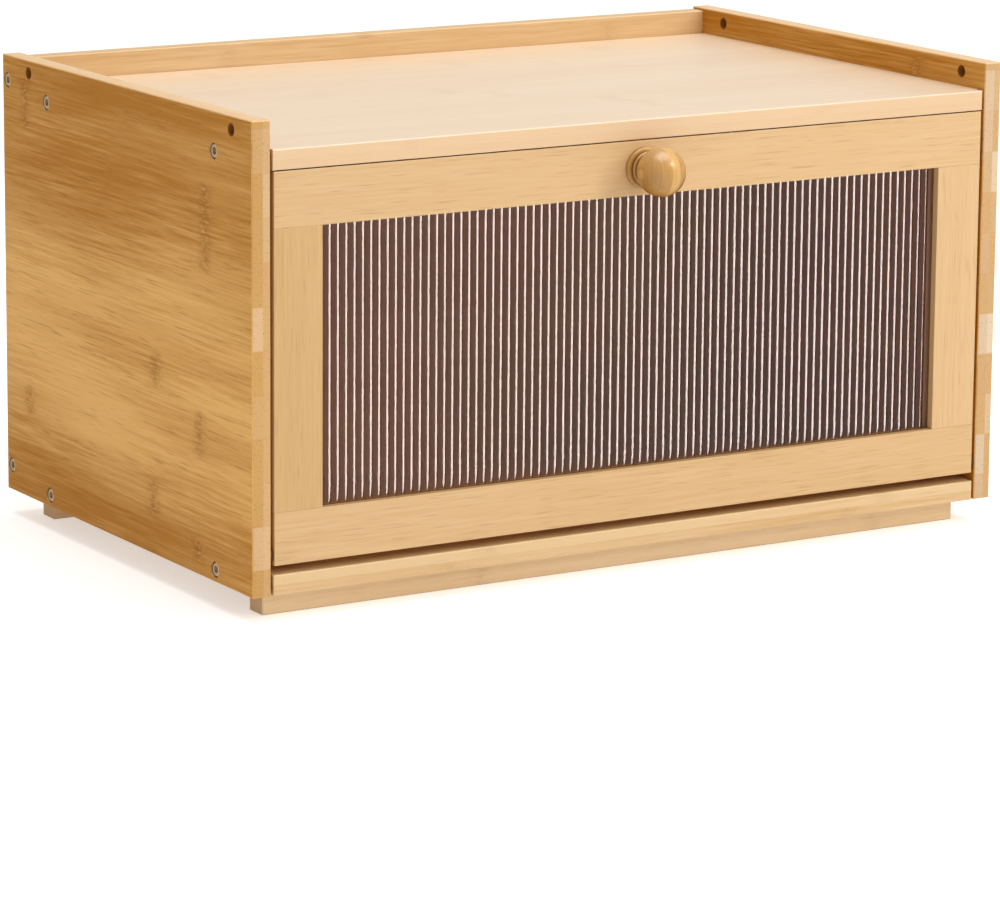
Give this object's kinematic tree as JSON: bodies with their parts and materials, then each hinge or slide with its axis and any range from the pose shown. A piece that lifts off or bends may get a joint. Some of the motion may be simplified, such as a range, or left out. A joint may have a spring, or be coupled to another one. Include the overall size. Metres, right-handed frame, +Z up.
{
  "type": "bread box",
  "caption": "Rectangular box of laminated bamboo boards with a railed tray top, and a framed drop-down door with a clear ribbed window and a turned ball knob.",
  "frame": {"origin": "centre of the overall box in plan, knob included, at the surface that the foot strips stand on", "axes": "+X to the right seen from the front, +Y to the back, +Z up; the door faces -Y"},
  "size_m": [0.432, 0.296, 0.24],
  "materials": {
    "bamboo_side": "clear matt lacquer over laminated bamboo, warm tan",
    "bamboo_shelf": "clear satin lacquer over laminated bamboo, pale honey",
    "bamboo_door": "clear satin lacquer over laminated bamboo, pale honey",
    "knob_wood": "glossy clear lacquer over turned laminated bamboo",
    "clear_acrylic": "clear ribbed acrylic",
    "nickel_steel": "nickel-plated steel",
    "zinc_steel": "zinc-plated steel",
    "pin_steel": "black-oxide steel pin",
    "magnet_nickel": "nickel-plated magnet",
    "brass": "turned brass",
    "nylon": "moulded brown nylon"
  },
  "bodies": {
    "carcass": {"left_side_panel": "bamboo_side", "right_side_panel": "bamboo_side", "top_board": "bamboo_shelf", "bottom_board": "bamboo_shelf", "back_panel": "bamboo_shelf", "front_foot_strip": "bamboo_shelf", "rear_foot_strip": "bamboo_shelf", "left_side_screws": "nickel_steel", "right_side_screws": "nickel_steel", "foot_strip_screws": "zinc_steel", "left_hinge_bush": "nylon", "right_hinge_bush": "nylon", "left_catch_block": "bamboo_shelf", "right_catch_block": "bamboo_shelf", "left_catch_magnet": "magnet_nickel", "right_catch_magnet": "magnet_nickel", "catch_block_screws": "zinc_steel"},
    "door": {"door_top_rail": "bamboo_door", "door_bottom_rail": "bamboo_door", "door_left_stile": "bamboo_door", "door_right_stile": "bamboo_door", "fluted_window": "clear_acrylic", "door_knob": "knob_wood", "knob_insert": "brass", "knob_screw": "nickel_steel", "knob_washer": "zinc_steel", "left_hinge_pin": "pin_steel", "right_hinge_pin": "pin_steel", "left_strike_plate": "zinc_steel", "right_strike_plate": "zinc_steel", "strike_plate_screws": "nickel_steel"}
  },
  "joints": [
    {"name": "door_drop", "type": "hinge", "parent": "carcass", "child": "door", "pos_m": [0, -0.116, 0.0325], "axis": [1, 0, 0], "range_deg": [0, 90]}
  ]
}
